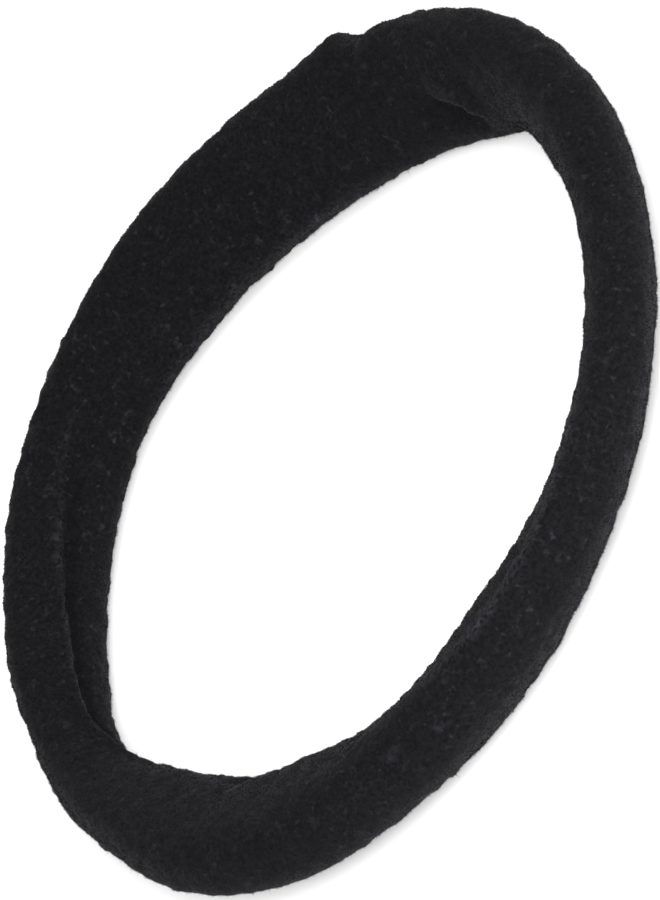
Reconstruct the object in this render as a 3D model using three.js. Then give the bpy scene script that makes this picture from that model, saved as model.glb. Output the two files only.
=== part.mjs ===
// An elastic hair tie: one thick seamless band of knitted nylon over rubber, in millimetres, +Z up.
// It is a flattened tube closed into a ring, leaning outwards like a shallow cone, and it lies on z = 0.
// The origin is under the middle of the ring. +X is the end with the overlap, +Y the broad far side.

import * as THREE from 'three';

// Driving dimensions
const ringRadius = 26.4; // from the ring's axis to the middle of the band
const bandWidth = 8; // the long way across the band's section
const bandThickness = 5; // the short way across it
const squareness = 2.6; // of the section: 2 is an ellipse, more is fuller at the corners
const restDepth = 0.25; // how far the soft knit flattens where it lies
const foldWidth = 0.75; // half the width of a plain crease in the knit
const overlapHeight = 1.5; // how far the overlap's corner stands out of the rim

// The shape of every fold, measured across it in shares of its breadth
const steepSide = 1.4; // how fast the groove comes up towards its lip
const gentleSide = 0.8; // how fast it comes up on the other side
const lipPlace = 1.4; // from the groove's line to the top of the lip
const lipBreadth = 1.1; // of the lip

// How finely the surface is divided
const stationCount = 144; // sections round the ring
const roundCount = 36; // points round each section

// The band's sections round the ring, one for each 20 degrees. radius, width and thickness are shares
// of the sizes above, and lean is the section's slope in degrees, rising outwards.
const sections = [
  { at: 0, radius: 1.03, width: 1.12, thickness: 0.96, lean: 63 },
  { at: 20, radius: 0.985, width: 1.16, thickness: 1, lean: 53 },
  { at: 40, radius: 0.94, width: 1.08, thickness: 1, lean: 46 },
  { at: 60, radius: 0.955, width: 1.1, thickness: 1, lean: 43 },
  { at: 80, radius: 0.995, width: 1.08, thickness: 1.02, lean: 46 },
  { at: 100, radius: 1.04, width: 0.95, thickness: 1, lean: 46 },
  { at: 120, radius: 1.03, width: 0.91, thickness: 1, lean: 47 },
  { at: 140, radius: 1.02, width: 0.82, thickness: 1, lean: 47 },
  { at: 160, radius: 1.025, width: 0.66, thickness: 1, lean: 45 },
  { at: 180, radius: 0.975, width: 0.9, thickness: 1.02, lean: 35 },
  { at: 200, radius: 0.975, width: 1.09, thickness: 1.07, lean: 30 },
  { at: 220, radius: 0.97, width: 1.05, thickness: 1.14, lean: 28 },
  { at: 240, radius: 0.98, width: 0.98, thickness: 1.12, lean: 45 },
  { at: 260, radius: 0.985, width: 1.06, thickness: 1.08, lean: 47 },
  { at: 280, radius: 0.98, width: 1.07, thickness: 0.96, lean: 42 },
  { at: 300, radius: 0.98, width: 1.05, thickness: 0.88, lean: 43 },
  { at: 320, radius: 0.985, width: 0.95, thickness: 0.86, lean: 50 },
  { at: 340, radius: 1.02, width: 1.06, thickness: 0.93, lean: 59 },
];

// The overlap, where one end of the tube lies over the other. The rim dips to a notch, stands up in a
// corner and runs back down: rise is a share of overlapHeight, and it is 0 past both ends.
const rimRows = [
  { at: 8, rise: 0 },
  { at: 20, rise: 0.08 },
  { at: 24, rise: 0.18 },
  { at: 26.5, rise: 0 },
  { at: 28.5, rise: 0.2 },
  { at: 30, rise: 0.45 },
  { at: 31.8, rise: 0.88 },
  { at: 33.5, rise: 0.8 },
  { at: 37, rise: 0.72 },
  { at: 42, rise: 0.6 },
  { at: 60, rise: 0.28 },
  { at: 80, rise: 0 },
];

// The folds in the knit. Each runs through its rows: at is the angle round the ring, turn the angle
// round the section (0 at the rim, 90 on the face that looks in and up), and depth and lip are shares
// of bandThickness. spread is how broad the fold is, as a share of foldWidth. The fold is steeper on
// its left (lipSide 1) or right (lipSide -1), as it runs, and its lip swells there.
const folds = [
  {
    name: 'crease between the two rolls',
    lipSide: -1,
    spread: 0.7,
    rows: [
      { at: 96, turn: 88, depth: 0, lip: 0 },
      { at: 106, turn: 91, depth: 0.05, lip: 0.03 },
      { at: 118, turn: 98, depth: 0.1, lip: 0.05 },
      { at: 132, turn: 104, depth: 0.12, lip: 0.06 },
      { at: 146, turn: 106, depth: 0.11, lip: 0.07 },
      { at: 153, turn: 109, depth: 0.1, lip: 0.08 },
      { at: 158, turn: 116, depth: 0.1, lip: 0.08 },
      { at: 163, turn: 128, depth: 0.11, lip: 0.07 },
      { at: 172, turn: 148, depth: 0.08, lip: 0.03 },
      { at: 184, turn: 175, depth: 0, lip: 0 },
    ],
  },
  {
    name: 'shallow fold along the near side',
    lipSide: -1,
    spread: 2,
    rows: [
      { at: 242, turn: 84, depth: 0, lip: 0 },
      { at: 251, turn: 58, depth: 0.03, lip: 0.04 },
      { at: 260, turn: 43, depth: 0.04, lip: 0.05 },
      { at: 270, turn: 45, depth: 0.04, lip: 0.05 },
      { at: 280, turn: 60, depth: 0.03, lip: 0.04 },
      { at: 294, turn: 82, depth: 0, lip: 0 },
    ],
  },
  {
    name: 'slanting fold below the overlap',
    lipSide: 1,
    spread: 1.2,
    rows: [
      { at: 18, turn: 93, depth: 0, lip: 0 },
      { at: 14, turn: 98, depth: 0.09, lip: 0 },
      { at: 11, turn: 102, depth: 0.15, lip: 0.05 },
      { at: 8, turn: 107, depth: 0.16, lip: 0.1 },
      { at: 5.5, turn: 112, depth: 0.1, lip: 0.08 },
      { at: 3, turn: 118, depth: 0, lip: 0 },
    ],
  },
  {
    name: 'tuck in the inner edge',
    lipSide: -1,
    spread: 2,
    rows: [
      { at: -16, turn: 98, depth: 0, lip: 0 },
      { at: -9, turn: 108, depth: 0.07, lip: 0 },
      { at: -4, turn: 119, depth: 0.14, lip: 0 },
      { at: -1, turn: 134, depth: 0.17, lip: 0 },
      { at: 1, turn: 150, depth: 0.18, lip: 0 },
      { at: 3, turn: 164, depth: 0.1, lip: 0 },
      { at: 3, turn: 180, depth: 0, lip: 0 },
    ],
  },
  {
    name: 'small dent in the inner edge',
    lipSide: 1,
    spread: 1.4,
    rows: [
      { at: 198, turn: 112, depth: 0, lip: 0 },
      { at: 200, turn: 125, depth: 0.07, lip: 0 },
      { at: 203, turn: 145, depth: 0.07, lip: 0 },
      { at: 206, turn: 165, depth: 0, lip: 0 },
    ],
  },
];

const radians = THREE.MathUtils.degToRad;

// An angle brought to between -180 and 180 degrees.
function wrapped(angle) {
  return THREE.MathUtils.euclideanModulo(angle + 180, 360) - 180;
}

// One column of the section table, smoothed round the ring through its rows.
function smoothed(column, angle) {
  const count = sections.length;
  const position = (THREE.MathUtils.euclideanModulo(angle, 360) * count) / 360;
  const row = Math.floor(position);
  const share = position - row;
  const value = (step) => sections[(row + step + count) % count][column];
  const [before, from, to, after] = [value(-1), value(0), value(1), value(2)];
  const slope = (to - before) * share;
  const bend = (2 * before - 5 * from + 4 * to - after) * share ** 2;
  const twist = (3 * from - before - 3 * to + after) * share ** 3;
  return from + (slope + bend + twist) / 2;
}

// How far the overlap lifts the rim at one angle round the ring.
function rimRise(angle) {
  const next = rimRows.findIndex((row) => row.at > angle);
  if (next < 1) return 0;
  const [from, to] = [rimRows[next - 1], rimRows[next]];
  return overlapHeight * THREE.MathUtils.mapLinear(angle, from.at, to.at, from.rise, to.rise);
}

// How far one fold moves the surface out at a place on the band: in along its line, out at its lip.
function foldShift(fold, angle, turn) {
  const meanHalfSize = (bandWidth + bandThickness) / 4; // of the section, taken as a circle
  const scale = new THREE.Vector2(radians(ringRadius), radians(meanHalfSize));
  const nearest = { distance: Infinity, side: 1, depth: 0, lip: 0 };
  for (let i = 0; i + 1 < fold.rows.length; i += 1) {
    const start = fold.rows[i];
    const end = fold.rows[i + 1];
    const line = new THREE.Vector2(end.at - start.at, end.turn - start.turn).multiply(scale);
    const offset = new THREE.Vector2(wrapped(angle - start.at), wrapped(turn - start.turn));
    const place = offset.multiply(scale);
    const share = THREE.MathUtils.clamp(place.dot(line) / line.lengthSq(), 0, 1);
    const distance = place.distanceTo(line.clone().multiplyScalar(share));
    if (distance < nearest.distance) {
      nearest.distance = distance;
      nearest.side = Math.sign(line.cross(place));
      nearest.depth = THREE.MathUtils.lerp(start.depth, end.depth, share);
      nearest.lip = THREE.MathUtils.lerp(start.lip, end.lip, share);
    }
  }
  const reach = (nearest.side * fold.lipSide * nearest.distance) / (foldWidth * fold.spread);
  const groove = nearest.depth * Math.exp(-((reach * (reach > 0 ? steepSide : gentleSide)) ** 2));
  const swell = nearest.lip * Math.exp(-(((reach - lipPlace) / lipBreadth) ** 2));
  return (swell - groove) * bandThickness;
}

// A point of the rounded, squarish section, from -1 to 1 each way.
function roundedSquare(turn) {
  const part = (value) => Math.sign(value) * Math.abs(value) ** (2 / squareness);
  return [part(Math.cos(radians(turn))), part(Math.sin(radians(turn)))];
}

// The section at one angle round the ring, as distances out from the ring's axis and up from z = 0.
function sectionAt(angle) {
  const halfWidth = (bandWidth * smoothed('width', angle)) / 2;
  const halfThickness = (bandThickness * smoothed('thickness', angle)) / 2;
  const lean = radians(smoothed('lean', angle));
  const points = [];
  for (let i = 0; i < roundCount; i += 1) {
    const turn = (360 * i) / roundCount;
    const [long, short] = roundedSquare(turn);
    const wide = halfWidth * long + rimRise(wrapped(angle)) * THREE.MathUtils.smoothstep(long, 0, 1);
    const thick = halfThickness * short;
    const shift = folds.reduce((sum, fold) => sum + foldShift(fold, angle, turn), 0);
    const grown = 1 + shift / Math.hypot(wide, thick);
    const out = (wide * Math.cos(lean) - thick * Math.sin(lean)) * grown;
    const up = (wide * Math.sin(lean) + thick * Math.cos(lean)) * grown;
    points.push({ out: ringRadius * smoothed('radius', angle) + out, up });
  }
  const lowest = Math.min(...points.map((point) => point.up));
  return points.map(({ out, up }) => ({ out, up: Math.max(up - lowest - restDepth, 0) }));
}

// The closed surface through all sections, moved so that the origin is under the middle of its box.
function bandGeometry() {
  const positions = [];
  for (let i = 0; i < stationCount; i += 1) {
    const angle = (360 * i) / stationCount;
    for (const { out, up } of sectionAt(angle)) {
      positions.push(out * Math.cos(radians(angle)), out * Math.sin(radians(angle)), up);
    }
  }
  const corner = (i, j) => (i % stationCount) * roundCount + (j % roundCount);
  const triangles = [];
  for (let i = 0; i < stationCount; i += 1) {
    for (let j = 0; j < roundCount; j += 1) {
      const [here, next] = [corner(i, j), corner(i + 1, j)];
      const [hereUp, nextUp] = [corner(i, j + 1), corner(i + 1, j + 1)];
      triangles.push(here, next, nextUp, here, nextUp, hereUp);
    }
  }
  const geometry = new THREE.BufferGeometry();
  geometry.setAttribute('position', new THREE.Float32BufferAttribute(positions, 3));
  geometry.setIndex(triangles);
  geometry.computeBoundingBox();
  const middle = geometry.boundingBox.getCenter(new THREE.Vector3());
  geometry.translate(-middle.x, -middle.y, 0);
  geometry.computeVertexNormals();
  return geometry;
}

// Black brushed knit: matt, with no metal in it.
const blackKnit = new THREE.MeshStandardMaterial({ color: 0x1c1b1e, roughness: 0.95, metalness: 0 });

const band = new THREE.Mesh(bandGeometry(), blackKnit);
band.name = 'band';

const hairTie = new THREE.Group();
hairTie.add(band);

export default hairTie;
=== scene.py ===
import math

import bpy
import numpy as np
from mathutils import Matrix, Vector


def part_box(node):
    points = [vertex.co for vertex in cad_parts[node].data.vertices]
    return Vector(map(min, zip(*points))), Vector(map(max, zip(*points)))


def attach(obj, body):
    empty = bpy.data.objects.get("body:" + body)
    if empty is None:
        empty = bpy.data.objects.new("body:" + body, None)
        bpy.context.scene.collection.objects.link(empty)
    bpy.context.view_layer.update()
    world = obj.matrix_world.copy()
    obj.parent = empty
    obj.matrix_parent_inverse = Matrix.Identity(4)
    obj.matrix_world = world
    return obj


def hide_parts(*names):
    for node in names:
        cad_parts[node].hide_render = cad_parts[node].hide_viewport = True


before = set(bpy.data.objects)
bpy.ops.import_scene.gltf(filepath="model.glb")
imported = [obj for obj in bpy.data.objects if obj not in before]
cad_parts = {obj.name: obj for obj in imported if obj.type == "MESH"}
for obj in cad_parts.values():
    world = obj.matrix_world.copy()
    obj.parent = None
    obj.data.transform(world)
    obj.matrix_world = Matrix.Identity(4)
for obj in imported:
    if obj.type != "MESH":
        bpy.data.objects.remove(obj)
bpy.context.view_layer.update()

# A thick black elastic hair tie: a seamless tube of brushed nylon knit, rolled and closed into a ring.
# Shapes are worked out in millimetres and then sized to the box of the CAD band.

mm = 0.001
photoSize = (660, 900)  # pixels


def linear(hexColour):  # sRGB hex to linear RGBA
    parts = [int(hexColour[i:i + 2], 16) / 255 for i in (1, 3, 5)]
    return [p / 12.92 if p <= 0.04045 else ((p + 0.055) / 1.055) ** 2.4 for p in parts] + [1]


def addNode(tree, kind, settings=None, links=None):  # one node, its settings or values, and its links
    node = tree.nodes.new(kind)
    for name, value in (settings or {}).items():
        if isinstance(name, str) and hasattr(node, name):
            setattr(node, name, value)
        else:
            node.inputs[name].default_value = value
    for name, source in (links or {}).items():
        tree.links.new(source, node.inputs[name])
    return node


# Camera

cameraSettings = {
    "elevation": 35.6,        # degrees above the floor, from the near side
    "roll": 62.9,             # degrees that the picture is turned
    "distance": 420,          # mm
    "pixelsPerMm": 15.53,     # at the ring
    "aimHeight": 3,           # mm above the floor
    "ringAxis": (-0.57, -0.45),  # mm, where the middle of the band's path lies
    "ringAxisPixel": (334, 459),  # where it lies in the photograph
    "sensor": 36,             # mm, the long side
    "clip": (0.01, 20),       # m
}


def makeCamera(s):
    rise, roll = math.radians(s["elevation"]), math.radians(s["roll"])
    back = Vector((0, -math.cos(rise), math.sin(rise)))
    side, top = Vector((1, 0, 0)), Vector((0, math.sin(rise), math.cos(rise)))
    right = math.cos(roll) * side - math.sin(roll) * top
    up = math.sin(roll) * side + math.cos(roll) * top
    offRight = (s["ringAxisPixel"][0] - photoSize[0] / 2) / s["pixelsPerMm"]
    offDown = (s["ringAxisPixel"][1] - photoSize[1] / 2) / s["pixelsPerMm"]
    aim = Vector((*s["ringAxis"], s["aimHeight"])) - offRight * right + offDown * up
    camera = bpy.data.objects.new("camera", bpy.data.cameras.new("camera"))
    bpy.context.scene.collection.objects.link(camera)
    camera.data.sensor_width = s["sensor"]
    camera.data.lens = s["sensor"] * s["pixelsPerMm"] * s["distance"] / photoSize[1]
    camera.data.clip_start, camera.data.clip_end = s["clip"]
    place = (aim + back * s["distance"]) * mm
    camera.matrix_world = Matrix.Translation(place) @ Matrix((right, up, back)).transposed().to_4x4()
    bpy.context.scene.camera = camera
    print("camera made, lens", round(camera.data.lens, 1), "mm")


makeCamera(cameraSettings)


# Band of knit

bandSettings = {
    "ringRadius": 26.4,    # mm, ring's axis to the middle of the band
    "width": 8.0,          # mm, long way across the section
    "thickness": 5.0,      # mm, short way
    "squareness": 2.6,     # 2 is an ellipse
    "restDepth": 0.25,     # mm that the knit flattens where it lies
    "foldWidth": 0.6,      # mm, half a plain crease
    "steepSide": 1.4,      # how fast a crease comes up towards its lip
    "gentleSide": 0.8,     # and on its other side
    "lipPlace": 1.4,       # shares of a crease's breadth from its line to the top of its lip
    "lipBreadth": 1.1,     # of the lip, in the same shares
    "overlapHeight": 1.5,  # mm that the overlap's corner stands out of the rim
    "stations": 880,       # sections round the ring
    "rounds": 112,         # points round each section
    "turnSteps": 8,        # steps for each point, to space them evenly
    "courses": 164,        # knit rows along the ring, about 1 mm each
    "wales": 20,           # knit columns round the section
    "stitchDepth": 0.035,  # mm
    "stitchSlant": 0.55,   # share of a row that a stitch's legs slant
    "stitchDip": 0.45,     # how far a stitch dips between its legs
    "stitchEnd": 3,        # how sharply it ends at the side of its column
    "stitchStray": 0.35,   # rows that the knit wanders
    "strayLength": 5,      # mm that it wanders over
    "lumps": [(7.0, 0.07), (2.2, 0.03), (0.8, 0.1)],  # size and height of the unevenness, mm
    "fullLip": 0.16,       # a lip that gets the full painted highlight, as a share of thickness
    "edgePlace": 0.85,     # where the painted highlight lies on a lip, as lipPlace
    "edgeBreadth": 0.5,    # over what breadth, as lipBreadth
    "lipPatches": 0.35,    # how uneven it is there
    "fullDepth": 0.28,     # a groove that gets the full painted shade, as a share of thickness
    "reliefShade": 0.35,   # how far the shading follows the relief, which the pile softens
    "inset": 0.02,         # mm that the knit lies below the middle of its nap
    "brushSize": 0.7,      # mm, size of the patches where the nap is brushed up
    "brushLimit": 0.5,     # the higher, the fewer patches
    "brushPatches": 0.28,  # how far they are brushed
    "lumpSeed": 11,
    "straySeed": 10,
    "brushSeed": 31,
}

# Sections each 20 degrees round the ring: radius, width and thickness as shares, and lean in degrees.
# A least-squares fit to the photo's outline gave these values, not a choice by hand. They were rounded,
# and 22 of the 72 were changed later
sectionRows = [
    (0, 1.03, 1.12, 0.96, 63), (20, 0.985, 1.16, 1, 53), (40, 0.94, 1.08, 1, 46),
    (60, 0.955, 1.1, 1, 43), (80, 0.995, 1.08, 1.02, 46), (100, 1.04, 0.95, 1, 46),
    (120, 1.03, 0.91, 1, 47), (140, 1.02, 0.82, 1, 47), (160, 1.025, 0.66, 1, 45),
    (180, 0.975, 0.9, 1.02, 35), (200, 0.975, 1.09, 1.07, 30), (220, 0.97, 1.05, 1.14, 28),
    (240, 0.98, 0.98, 1.12, 45), (260, 0.985, 1.06, 1.08, 47), (280, 0.98, 1.07, 0.96, 42),
    (300, 0.98, 1.05, 0.88, 43), (320, 0.985, 0.95, 0.86, 50), (340, 1.02, 1.06, 0.93, 59),
]
radiusColumn, widthColumn, thicknessColumn, leanColumn = 1, 2, 3, 4

# The overlap's rise of the rim: angle round the ring, then share of overlapHeight
rimRows = [
    (8, 0), (20, 0.08), (24, 0.18), (26.5, 0), (28.5, 0.2), (30, 0.45), (31.8, 0.88),
    (33.5, 0.8), (37, 0.72), (42, 0.6), (60, 0.28), (80, 0),
]

# Folds: rows of angle round the ring, turn round the section, then depth and lip as shares of thickness.
# The turn is 0 at the rim and 90 on the face that looks in and up. spread is a fold's breadth as a share
# of foldWidth; the last weight is how strong its lip's painted highlight is. Each groove gets painted
# shade
folds = [
    {"name": "crease between the two rolls", "lipSide": -1, "spread": 0.7, "brushed": 0.8, "rows": [
        (96, 88, 0, 0), (106, 91, 0.05, 0.03), (118, 98, 0.1, 0.05), (132, 104, 0.12, 0.06),
        (146, 106, 0.11, 0.07), (153, 109, 0.1, 0.08), (158, 116, 0.1, 0.08), (163, 128, 0.11, 0.07),
        (172, 148, 0.08, 0.03), (184, 175, 0, 0)]},
    {"name": "shallow fold along the near side", "lipSide": -1, "spread": 2, "brushed": 1.4, "rows": [
        (242, 84, 0, 0), (251, 58, 0.03, 0.04), (260, 43, 0.04, 0.05), (270, 45, 0.04, 0.05),
        (280, 60, 0.03, 0.04), (294, 82, 0, 0)]},
    {"name": "slanting fold below the overlap", "lipSide": 1, "spread": 1.2, "brushed": 0.5, "rows": [
        (18, 93, 0, 0), (14, 98, 0.09, 0), (11, 102, 0.15, 0.05), (8, 107, 0.16, 0.1),
        (5.5, 112, 0.1, 0.08), (3, 118, 0, 0)]},
    {"name": "tuck in the inner edge", "lipSide": -1, "spread": 2, "brushed": 0, "rows": [
        (-16, 98, 0, 0), (-9, 108, 0.07, 0), (-4, 119, 0.14, 0), (-1, 134, 0.17, 0), (1, 150, 0.18, 0),
        (3, 164, 0.1, 0), (3, 180, 0, 0)]},
    {"name": "small dent in the inner edge", "lipSide": 1, "spread": 1.4, "brushed": 0, "rows": [
        (198, 112, 0, 0), (200, 125, 0.07, 0), (203, 145, 0.07, 0), (206, 165, 0, 0)]},
    # painted highlight along the far side's edge of the hole: no groove, and a lip too low to show
    {"name": "brushed edge of the far side", "lipSide": 1, "spread": 3, "brushed": 12, "rows": [
        (26, 132, 0, 0), (40, 134, 0, 0.005), (62, 137, 0, 0.005), (84, 137, 0, 0.004), (100, 134, 0, 0)]},
]


def smoothStep(value, low, high):
    t = np.clip((value - low) / (high - low), 0, 1)
    return t * t * (3 - 2 * t)


def wrapped(angle):  # to between -180 and 180 degrees
    return (angle + 180) % 360 - 180


def smoothColumn(column, angle):  # one column of the section rows, smoothed round the ring
    values = np.array([row[column] for row in sectionRows], float)
    place = (angle % 360) * len(values) / 360
    row = np.floor(place).astype(int)
    t = place - row
    before, start, end, after = (values[(row + step) % len(values)] for step in (-1, 0, 1, 2))
    slope = (end - before) * t
    bend = (2 * before - 5 * start + 4 * end - after) * t ** 2
    twist = (3 * start - before - 3 * end + after) * t ** 3
    return start + (slope + bend + twist) / 2


def rimRise(s, angle):  # mm that the overlap lifts the rim
    return s["overlapHeight"] * np.interp(wrapped(angle), *zip(*rimRows))


# How far across a fold each point is, and how deep its groove and how high its lip are there
def foldShape(s, fold, angle, turn):
    alongScale = math.radians(s["ringRadius"])
    aroundScale = math.radians((s["width"] + s["thickness"]) / 4)
    nearest = np.full(angle.shape, np.inf)
    side, depth, lip = (np.zeros(angle.shape) for _ in range(3))
    rows = fold["rows"]
    for (at, around, deep, high), (nextAt, nextAround, nextDeep, nextHigh) in zip(rows, rows[1:]):
        lineX, lineY = (nextAt - at) * alongScale, (nextAround - around) * aroundScale
        x, y = wrapped(angle - at) * alongScale, wrapped(turn - around) * aroundScale
        share = np.clip((x * lineX + y * lineY) / (lineX ** 2 + lineY ** 2), 0, 1)
        distance = np.hypot(x - share * lineX, y - share * lineY)
        closer = distance < nearest
        nearest = np.where(closer, distance, nearest)
        side = np.where(closer, np.sign(lineX * y - lineY * x), side)
        depth = np.where(closer, deep + (nextDeep - deep) * share, depth)
        lip = np.where(closer, high + (nextHigh - high) * share, lip)
    reach = side * fold["lipSide"] * nearest / (s["foldWidth"] * fold["spread"])
    groove = depth * np.exp(-(reach * np.where(reach > 0, s["steepSide"], s["gentleSide"])) ** 2)
    return reach, groove, lip


def foldShift(s, fold, angle, turn):  # mm that a fold moves the surface out
    reach, groove, lip = foldShape(s, fold, angle, turn)
    swell = lip * np.exp(-((reach - s["lipPlace"]) / s["lipBreadth"]) ** 2)
    return (swell - groove) * s["thickness"]


# 1 where a lip gets a painted highlight or the nap is brushed up in a patch, -1 where a fold's groove gets
# painted shade
def napLift(s, angle, turn, ringLength, sectionLength):
    lipHighlights, grooveShade = 0, 0
    for fold in folds:
        reach, groove, lip = foldShape(s, fold, angle, turn)
        edge = np.exp(-((reach - s["edgePlace"]) / s["edgeBreadth"]) ** 2)
        lipHighlights = lipHighlights + lip * edge * fold["brushed"] / s["fullLip"]
        grooveShade = grooveShade + groove / s["fullDepth"]
    patches = evenNoise(s, s["brushSize"], s["brushSeed"], ringLength, sectionLength)
    tufts = s["brushPatches"] * np.clip(patches - s["brushLimit"], 0, None)
    return np.clip(lipHighlights * (1 + s["lipPatches"] * patches) + tufts - grooveShade, -1, 1)


def squarish(s, value):  # a cosine or sine, drawn out towards the corners of the section
    return np.sign(value) * np.abs(value) ** (2 / s["squareness"])


def bandPoints(s, angle, turn):  # points of the smooth band, in mm
    long, short = squarish(s, np.cos(np.radians(turn))), squarish(s, np.sin(np.radians(turn)))
    wide = s["width"] / 2 * smoothColumn(widthColumn, angle) * long
    wide = wide + rimRise(s, angle) * smoothStep(long, 0, 1)
    thick = s["thickness"] / 2 * smoothColumn(thicknessColumn, angle) * short
    grown = 1 + sum(foldShift(s, fold, angle, turn) for fold in folds) / np.hypot(wide, thick)
    lean = np.radians(smoothColumn(leanColumn, angle))
    radius = s["ringRadius"] * smoothColumn(radiusColumn, angle)
    out = radius + (wide * np.cos(lean) - thick * np.sin(lean)) * grown
    up = (wide * np.sin(lean) + thick * np.cos(lean)) * grown
    up = up - up.min(axis=1, keepdims=True) - s["restDepth"]
    return np.stack([out * np.cos(np.radians(angle)), out * np.sin(np.radians(angle)), up], axis=-1)


def evenTurns(s, angles):  # turns that lie evenly spaced round each section
    fine = np.linspace(0, 360, s["rounds"] * s["turnSteps"] + 1)
    ring = bandPoints(s, *np.meshgrid(angles, fine, indexing="ij"))
    steps = np.linalg.norm(np.diff(ring, axis=1), axis=2)
    run = np.concatenate([np.zeros((len(angles), 1)), np.cumsum(steps, axis=1)], axis=1)
    share = np.arange(s["rounds"]) / s["rounds"]
    return np.array([np.interp(share * row[-1], row, fine) for row in run])


def gridNormals(points):  # outward normals of a closed grid
    along = np.roll(points, -1, axis=0) - np.roll(points, 1, axis=0)
    around = np.roll(points, -1, axis=1) - np.roll(points, 1, axis=1)
    normal = np.cross(along, around)
    return normal / np.linalg.norm(normal, axis=2, keepdims=True)


def evenNoise(s, size, seed, ringLength, sectionLength):  # soft noise that closes both ways, about -1 to 1
    shape = (s["stations"], s["rounds"])
    white = np.random.default_rng(seed).standard_normal(shape)
    fx = np.fft.fftfreq(shape[0], ringLength / shape[0])[:, None]
    fy = np.fft.fftfreq(shape[1], sectionLength / shape[1])[None]
    noise = np.real(np.fft.ifft2(np.fft.fft2(white) * np.exp(-((fx ** 2 + fy ** 2) * size ** 2) * 2)))
    return noise / noise.std() / 2


def stitches(s, along, around, stray):  # V-shaped stitches in columns along the ring, 0 to 1
    column = around * s["wales"] + stray
    offLine = np.abs(column - np.round(column)) * 2
    leg = 0.5 + 0.5 * np.cos(2 * math.pi * (along * s["courses"] + s["stitchSlant"] * offLine + stray))
    between = 1 - s["stitchDip"] + s["stitchDip"] * np.sin(math.pi * offLine)
    return leg * (1 - offLine ** s["stitchEnd"]) * between


def knitRelief(s, along, around, ringLength, sectionLength):  # mm that the knit stands out of the band
    stray = s["stitchStray"] * evenNoise(s, s["strayLength"], s["straySeed"], ringLength, sectionLength)
    relief = s["stitchDepth"] * (stitches(s, along, around, stray) - 0.5) - s["inset"]
    for i, (size, height) in enumerate(s["lumps"]):
        relief = relief + height * evenNoise(s, size, s["lumpSeed"] + i, ringLength, sectionLength)
    return relief


def closedMesh(name, grid):  # quads over a grid that closes both ways, with a UV map along and around it
    rows, columns = grid.shape[:2]
    i, j = np.meshgrid(np.arange(rows), np.arange(columns), indexing="ij")
    index = i * columns + j
    nextUp = np.roll(index, -1, axis=0)
    faces = np.stack([index, nextUp, np.roll(nextUp, -1, axis=1), np.roll(index, -1, axis=1)], axis=-1)
    mesh = bpy.data.meshes.new(name)
    mesh.from_pydata(grid.reshape(-1, 3).tolist(), [], faces.reshape(-1, 4).tolist())
    uv = mesh.uv_layers.new(name="knit")
    u = np.stack([i, i + 1, i + 1, i], axis=-1) / rows
    v = np.stack([j, j, j + 1, j + 1], axis=-1) / columns
    uv.data.foreach_set("uv", np.stack([u, v], axis=-1).ravel())
    mesh.shade_smooth()
    mesh.validate()
    return mesh


def makeBand(s):
    angles = np.arange(s["stations"]) * 360 / s["stations"]
    turns = evenTurns(s, angles)
    grid = bandPoints(s, np.repeat(angles[:, None], s["rounds"], axis=1), turns)
    ringLength = np.linalg.norm(np.roll(grid, -1, axis=0) - grid, axis=2).sum(axis=0).mean()
    sectionLength = np.linalg.norm(np.roll(grid, -1, axis=1) - grid, axis=2).sum(axis=1).mean()
    print("band is", round(ringLength), "mm long and", round(sectionLength, 1), "mm round")
    along = np.repeat(np.arange(s["stations"])[:, None] / s["stations"], s["rounds"], axis=1)
    around = np.repeat(np.arange(s["rounds"])[None] / s["rounds"], s["stations"], axis=0)
    relief = knitRelief(s, along, around, ringLength, sectionLength)
    low, high = grid.reshape(-1, 3).min(axis=0), grid.reshape(-1, 3).max(axis=0)
    smooth = gridNormals(grid)
    grid = grid + smooth * relief[..., None]
    shaded = smooth + s["reliefShade"] * (gridNormals(grid) - smooth)
    grid[..., 2] = np.maximum(grid[..., 2], 0)
    boxLow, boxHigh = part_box("band")
    scale = (boxHigh[0] - boxLow[0]) / (high[0] - low[0])
    print("middle of the band's path at", (-(low + high) / 2).round(2)[:2], "mm")
    grid[..., :2] -= (low[:2] + high[:2]) / 2
    grid *= scale
    mesh = closedMesh("knitBand", grid)
    mesh.normals_split_custom_set_from_vertices(shaded.reshape(-1, 3).tolist())
    # painted highlight on the fold lips and painted shade in their grooves, with the brushed-up patches
    liftAndPaintedLight = napLift(s, np.degrees(along * 2 * math.pi), turns, ringLength, sectionLength)
    mesh.attributes.new("napLift", "FLOAT", "POINT").data.foreach_set("value", liftAndPaintedLight.ravel())
    band = bpy.data.objects.new("knitBand", mesh)
    bpy.context.scene.collection.objects.link(band)
    print("band made,", 2 * len(mesh.polygons), "triangles")
    return band


band = makeBand(bandSettings)


# Brushed black nylon knit: matt and nearly black. Its pile gives a soft uneven grain to the eye, greyer
# in brushed-up patches. Fold lips get a painted highlight and fold grooves painted shade

knitFinish = {
    "gapAndShade": "#060607",         # down in the pile, and the painted shade in grooves
    "tuft": "#0d0d0f",        # tops of the pile
    "lightTuft": "#242328",   # pile that catches the light
    "brushedTuft": "#2d2c31",  # pile brushed up in patches, and the painted highlight on lips
    "fade": "#131215",        # worn patches
    "fadeShare": 0.45,        # how far they go to that colour
    "grainSize": 0.28,        # mm, drawn about twice as coarse as the real pile so that it shows
    "grainLimits": (0.32, 0.68),  # of the noise, from the bottom of the pile to its top
    "lightSize": 0.5,         # mm, the lighter specks
    "lightLimits": (0.58, 0.74),
    "lightShare": 0.75,       # how far they go to the light colour
    "patchSize": 5,           # mm, the worn patches
    "patchLimits": (0.45, 0.7),
    "noiseDetail": 3,
    "roughness": 0.92,
    "specular": 0.08,
    "sheen": 0.045,
    "sheenRoughness": 0.4,
    "sheenTint": "#c9c8d0",
    "grainBump": 0.012,       # mm
}


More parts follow.
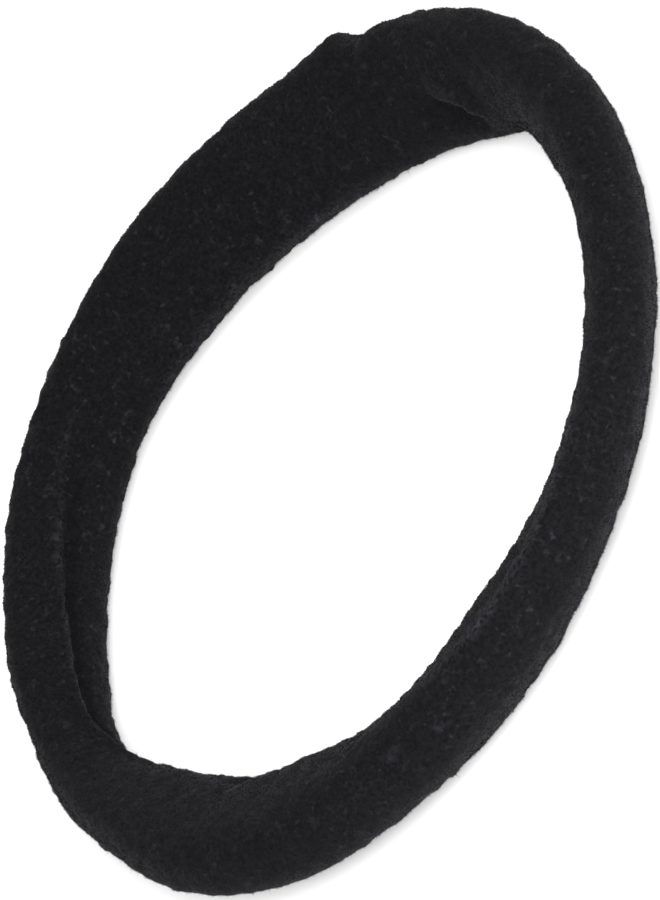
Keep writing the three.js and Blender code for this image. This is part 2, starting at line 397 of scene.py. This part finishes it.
def brushedNylonKnit(s):
    material = bpy.data.materials.new("brushedNylonKnit")
    material.use_nodes = True
    tree = material.node_tree
    tree.nodes.clear()
    place = addNode(tree, "ShaderNodeTexCoord").outputs["Object"]

    def noise(size, limits, top):  # soft spots of one size in mm, 0 to top
        scale = {"Scale": 1 / (size * mm), "Detail": s["noiseDetail"]}
        cloud = addNode(tree, "ShaderNodeTexNoise", scale, {"Vector": place})
        low, high = limits
        span = {"interpolation_type": "SMOOTHSTEP", "From Min": low, "From Max": high, "To Max": top}
        spots = addNode(tree, "ShaderNodeMapRange", span, {"Value": cloud.outputs["Fac"]})
        return spots.outputs["Result"]

    def mix(first, second, share):  # colours or hex values
        node = addNode(tree, "ShaderNodeMix", {"data_type": "RGBA"})
        tree.links.new(share, node.inputs["Factor"])
        for socket, colour in ((node.inputs[6], first), (node.inputs[7], second)):
            if isinstance(colour, str):
                socket.default_value = linear(colour)
            else:
                tree.links.new(colour, socket)
        return node.outputs[2]

    grain = noise(s["grainSize"], s["grainLimits"], 1)
    top = mix(s["tuft"], s["fade"], noise(s["patchSize"], s["patchLimits"], s["fadeShare"]))
    lit = mix(top, s["lightTuft"], noise(s["lightSize"], s["lightLimits"], s["lightShare"]))
    # painted highlight on lips and brushed-up patches go to the lighter pile, painted shade in grooves to
    # the gap colour
    liftAndPaintedLight = addNode(tree, "ShaderNodeAttribute", {"attribute_name": "napLift"}).outputs["Fac"]
    raisedAndHighlit = mix(lit, s["brushedTuft"], liftAndPaintedLight)
    shown = addNode(tree, "ShaderNodeMath", {"operation": "MULTIPLY_ADD"}, {0: grain, 1: liftAndPaintedLight, 2: grain})
    colour = mix(s["gapAndShade"], raisedAndHighlit, shown.outputs[0])
    bump = addNode(tree, "ShaderNodeBump", {"Distance": s["grainBump"] * mm}, {"Height": grain})
    shader = addNode(tree, "ShaderNodeBsdfPrincipled", {
        "Roughness": s["roughness"], "Specular IOR Level": s["specular"], "Sheen Weight": s["sheen"],
        "Sheen Roughness": s["sheenRoughness"], "Sheen Tint": linear(s["sheenTint"])},
        {"Base Color": colour, "Normal": bump.outputs["Normal"]})
    addNode(tree, "ShaderNodeOutputMaterial", None, {"Surface": shader.outputs["BSDF"]})
    print("material made: brushed nylon knit")
    return material


knit = brushedNylonKnit(knitFinish)
band.data.materials.append(knit)
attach(band, "root")
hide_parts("band")


# Nap: the brushed fibres that stand out of the knit, in coats, and a few long stray ones

coatSettings = {  # count of fibres, sizes in mm, tilt and bend as shares of the length
    "under": {"count": 47000, "length": 0.12, "radius": 0.024, "tilt": 0.8, "bend": 0, "segments": 1,
              "seed": 3},
    "middle": {"count": 47000, "length": 0.15, "radius": 0.02, "tilt": 0.8, "bend": 0, "segments": 1,
               "seed": 7},
    "upper": {"count": 47000, "length": 0.18, "radius": 0.016, "tilt": 0.8, "bend": 0, "segments": 1,
              "seed": 13},
    "stray": {"count": 1500, "length": 0.4, "radius": 0.009, "tilt": 0.9, "bend": 0.5, "segments": 3,
              "seed": 19},
}
napSettings = {
    "tuft": 0.9,                 # mm, size of the tufts that the nap gathers in
    "tuftDetail": 2,
    "tuftLimits": (0.35, 0.65),  # of the noise, from between the tufts to their middle
    "tuftFill": (0.5, 1.5),      # share of the fibres that grow in those two places
    "comb": 0.2,                 # how far the nap lies over one way within a tuft
    "brushed": 0.5,              # how much lighter the nap is where it is brushed up or lit by a painted highlight; darker in painted shade
    "fibreScale": (0.5, 1.25),   # the smallest and the largest fibre
    "fibreSpin": 6.28,           # radians that a fibre may be turned
}


def napTree(s):  # lays fibres on a mesh as three-sided cones: sizes in metres
    tree = bpy.data.node_groups.new("nap", "GeometryNodeTree")
    tree.interface.new_socket("Geometry", in_out="OUTPUT", socket_type="NodeSocketGeometry")
    kinds = {"Band": "Object", "Density": "Float", "Length": "Float", "Radius": "Float", "Tilt": "Float",
             "Bend": "Float", "Segments": "Int", "Tufts": "Float", "Comb": "Float", "BrushAndPaintedLight": "Float",
             "Seed": "Int", "Finish": "Material"}
    for label, kind in kinds.items():
        tree.interface.new_socket(label, in_out="INPUT", socket_type="NodeSocket" + kind)
    given = addNode(tree, "NodeGroupInput").outputs

    def reckon(operation, first, second):  # with numbers or sockets
        links = {i: value for i, value in enumerate((first, second)) if not isinstance(value, float)}
        values = {i: value for i, value in enumerate((first, second)) if isinstance(value, float)}
        return addNode(tree, "ShaderNodeMath", {"operation": operation, **values}, links).outputs[0]

    def vector(operation, first, second):
        links = {0: first, 1: second}
        return addNode(tree, "ShaderNodeVectorMath", {"operation": operation}, links).outputs[0]

    def scaled(source, scale):
        links = {0: source, "Scale": scale}
        return addNode(tree, "ShaderNodeVectorMath", {"operation": "SCALE"}, links).outputs[0]

    def chance(low, high):  # an even draw for each fibre
        node = addNode(tree, "FunctionNodeRandomValue", {"data_type": "FLOAT", 2: low, 3: high},
                       {"Seed": given["Seed"]})
        return node.outputs[1]

    base = addNode(tree, "GeometryNodeObjectInfo",
                   {"transform_space": "RELATIVE"}, {"Object": given["Band"]})
    place = addNode(tree, "GeometryNodeInputPosition").outputs["Position"]
    tufts = addNode(tree, "ShaderNodeTexNoise",
                    {"Detail": s["tuftDetail"]}, {"Vector": place, "Scale": given["Tufts"]})
    (low, high), (thin, full) = s["tuftLimits"], s["tuftFill"]
    share = addNode(tree, "ShaderNodeMapRange",
                    {"From Min": low, "From Max": high, "To Min": thin, "To Max": full},
                    {"Value": tufts.outputs["Fac"]})
    points = addNode(tree, "GeometryNodeDistributePointsOnFaces", None,
                     {"Mesh": base.outputs["Geometry"], "Seed": given["Seed"],
                      "Density": reckon("MULTIPLY", given["Density"], share.outputs["Result"])})
    stray = addNode(tree, "FunctionNodeRandomValue",
                    {"data_type": "FLOAT_VECTOR", 0: (-1, -1, -1), 1: (1, 1, 1)}, {"Seed": given["Seed"]})
    middle = addNode(tree, "ShaderNodeCombineXYZ", {"X": 0.5, "Y": 0.5, "Z": 0.5}).outputs[0]
    way = vector("SUBTRACT", tufts.outputs["Color"], middle)
    lean = vector("ADD", scaled(stray.outputs[0], given["Tilt"]), scaled(way, given["Comb"]))
    aim = vector("ADD", points.outputs["Normal"], lean)
    turned = addNode(tree, "FunctionNodeAlignRotationToVector", {"axis": "Z"}, {"Vector": aim})
    spin = addNode(tree, "ShaderNodeCombineXYZ", None, {"Z": chance(0.0, s["fibreSpin"])})
    spun = addNode(tree, "FunctionNodeRotateRotation", {"rotation_space": "LOCAL"},
                   {"Rotation": turned.outputs[0], "Rotate By": spin.outputs[0]})
    fibre = addNode(tree, "GeometryNodeMeshCone", {"Vertices": 3, "Radius Top": 0.0},
                    {"Radius Bottom": given["Radius"], "Depth": given["Length"],
                     "Side Segments": given["Segments"]})
    height = addNode(tree, "ShaderNodeSeparateXYZ", None, {0: place}).outputs["Z"]
    curve = reckon("DIVIDE", reckon("MULTIPLY", height, height), given["Length"])
    sideways = reckon("MULTIPLY", curve, given["Bend"])
    offset = addNode(tree, "ShaderNodeCombineXYZ", None, {"X": sideways})
    bent = addNode(tree, "GeometryNodeSetPosition", None,
                   {"Geometry": fibre.outputs["Mesh"], "Offset": offset.outputs[0]})
    coat = addNode(tree, "GeometryNodeInstanceOnPoints", None,
                   {"Points": points.outputs["Points"], "Instance": bent.outputs["Geometry"],
                    "Rotation": spun.outputs[0], "Scale": chance(*s["fibreScale"])})
    # the fibres take the painted highlight of the lips, the painted shade of the grooves and the
    # brushed-up patches
    liftAndPaintedLight = addNode(tree, "GeometryNodeInputNamedAttribute", {"data_type": "FLOAT", "Name": "napLift"})
    lighter = reckon("MULTIPLY", liftAndPaintedLight.outputs[0], given["BrushAndPaintedLight"])
    toned = addNode(tree, "GeometryNodeStoreNamedAttribute",
                    {"data_type": "FLOAT", "domain": "INSTANCE", "Name": "fibreTone"},
                    {"Geometry": coat.outputs[0], "Value": reckon("ADD", chance(0.0, 1.0), lighter)})
    real = addNode(tree, "GeometryNodeRealizeInstances", None, {"Geometry": toned.outputs[0]})
    tip = addNode(tree, "ShaderNodeSeparateXYZ", None, {0: place}).outputs
    held = addNode(tree, "ShaderNodeCombineXYZ", None,
                   {"X": tip["X"], "Y": tip["Y"], "Z": reckon("MAXIMUM", tip["Z"], 0.0)})
    flat = addNode(tree, "GeometryNodeSetPosition", None,
                   {"Geometry": real.outputs[0], "Position": held.outputs[0]})
    done = addNode(tree, "GeometryNodeSetMaterial", None,
                   {"Geometry": flat.outputs[0], "Material": given["Finish"]})
    addNode(tree, "NodeGroupOutput", None, {"Geometry": done.outputs[0]})
    return tree


def makeNap(name, s, common, tree, finish):
    host = bpy.data.objects.new("napHost", bpy.data.meshes.new("napHost"))
    bpy.context.scene.collection.objects.link(host)
    modifier = host.modifiers.new("nap", "NODES")
    modifier.node_group = tree
    area = sum(face.area for face in band.data.polygons)
    values = {"Band": band, "Density": s["count"] / area, "Length": s["length"] * mm,
              "Radius": s["radius"] * mm, "Tilt": s["tilt"], "Bend": s["bend"], "Segments": s["segments"],
              "Tufts": 1 / (common["tuft"] * mm), "Comb": common["comb"], "BrushAndPaintedLight": common["brushed"],
              "Seed": s["seed"], "Finish": finish}
    for item in tree.interface.items_tree:
        if item.in_out == "INPUT":
            modifier[item.identifier] = values[item.name]
    seen = host.evaluated_get(bpy.context.evaluated_depsgraph_get())
    mesh = bpy.data.meshes.new_from_object(seen)
    nap = bpy.data.objects.new(name + "Nap", mesh)
    bpy.context.scene.collection.objects.link(nap)
    bpy.data.objects.remove(host)
    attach(nap, "root")
    print(name, "nap made,", sum(len(face.vertices) - 2 for face in mesh.polygons), "triangles")


# Fibres of the nap: the same black nylon, drawn fine, each a little lighter or darker at random, lighter
# with a painted highlight on lips and darker with painted shade in grooves

fibreFinish = {
    "dark": "#070708",
    "light": "#1f1e22",
    "lightPower": 4,          # the higher, the fewer light ones
    "roughness": 0.9,
    "specular": 0.05,
}


def nylonFibre(s):
    material = bpy.data.materials.new("brushedNylonFibre")
    material.use_nodes = True
    tree = material.node_tree
    tree.nodes.clear()
    # fibreTone holds the random tone and the painted highlight and shade of lips and grooves
    tone = addNode(tree, "ShaderNodeAttribute", {"attribute_name": "fibreTone"})
    liftAndPaintedLight = addNode(tree, "ShaderNodeMath",
                   {"operation": "POWER", 1: s["lightPower"]}, {0: tone.outputs["Fac"]})
    colour = addNode(tree, "ShaderNodeMix", {"data_type": "RGBA"})
    tree.links.new(liftAndPaintedLight.outputs[0], colour.inputs["Factor"])
    colour.inputs["A"].default_value = linear(s["dark"])
    colour.inputs["B"].default_value = linear(s["light"])
    shader = addNode(tree, "ShaderNodeBsdfPrincipled",
                     {"Roughness": s["roughness"], "Specular IOR Level": s["specular"]},
                     {"Base Color": colour.outputs["Result"]})
    addNode(tree, "ShaderNodeOutputMaterial", None, {"Surface": shader.outputs["BSDF"]})
    return material


fibreMaterial = nylonFibre(fibreFinish)
coatTree = napTree(napSettings)
for coat, settings in coatSettings.items():
    makeNap(coat, settings, napSettings, coatTree, fibreMaterial)


# Floor and light

studioSettings = {
    "floorSize": 3,           # m
    "floorColour": "#fbfbfb",
    "skyStrength": 1.1,
    "key": {"place": (0, -0.14, 0.08), "size": 0.12, "power": 0.4},  # m and W
    "fill": {"place": (0.5, -0.1, 0.5), "size": 0.6, "power": 2.5},
}


def makeFloor(s):
    half = s["floorSize"] / 2
    mesh = bpy.data.meshes.new("floor")
    corners = [(-half, -half, 0), (half, -half, 0), (half, half, 0), (-half, half, 0)]
    mesh.from_pydata(corners, [], [(0, 1, 2, 3)])
    floor = bpy.data.objects.new("floor", mesh)
    bpy.context.scene.collection.objects.link(floor)
    paper = bpy.data.materials.new("whitePaper")
    paper.use_nodes = True
    sockets = paper.node_tree.nodes["Principled BSDF"].inputs
    sockets["Base Color"].default_value = linear(s["floorColour"])
    sockets["Roughness"].default_value = 1
    sockets["Specular IOR Level"].default_value = 0
    mesh.materials.append(paper)
    print("floor made")


def makeLights(s):
    world = bpy.data.worlds.new("studio")
    world.use_nodes = True
    sky = world.node_tree.nodes["Background"].inputs
    sky["Color"].default_value = (1, 1, 1, 1)
    sky["Strength"].default_value = s["skyStrength"]
    bpy.context.scene.world = world
    for name in ("key", "fill"):
        lamp = bpy.data.lights.new(name, "AREA")
        lamp.size, lamp.energy = s[name]["size"], s[name]["power"]
        light = bpy.data.objects.new(name, lamp)
        bpy.context.scene.collection.objects.link(light)
        light.location = s[name]["place"]
        light.visible_camera = False
        light.rotation_euler = (-Vector(s[name]["place"])).to_track_quat("-Z", "Y").to_euler()
    bpy.context.scene.view_settings.view_transform = "Standard"
    print("lights made")


makeFloor(studioSettings)
makeLights(studioSettings)
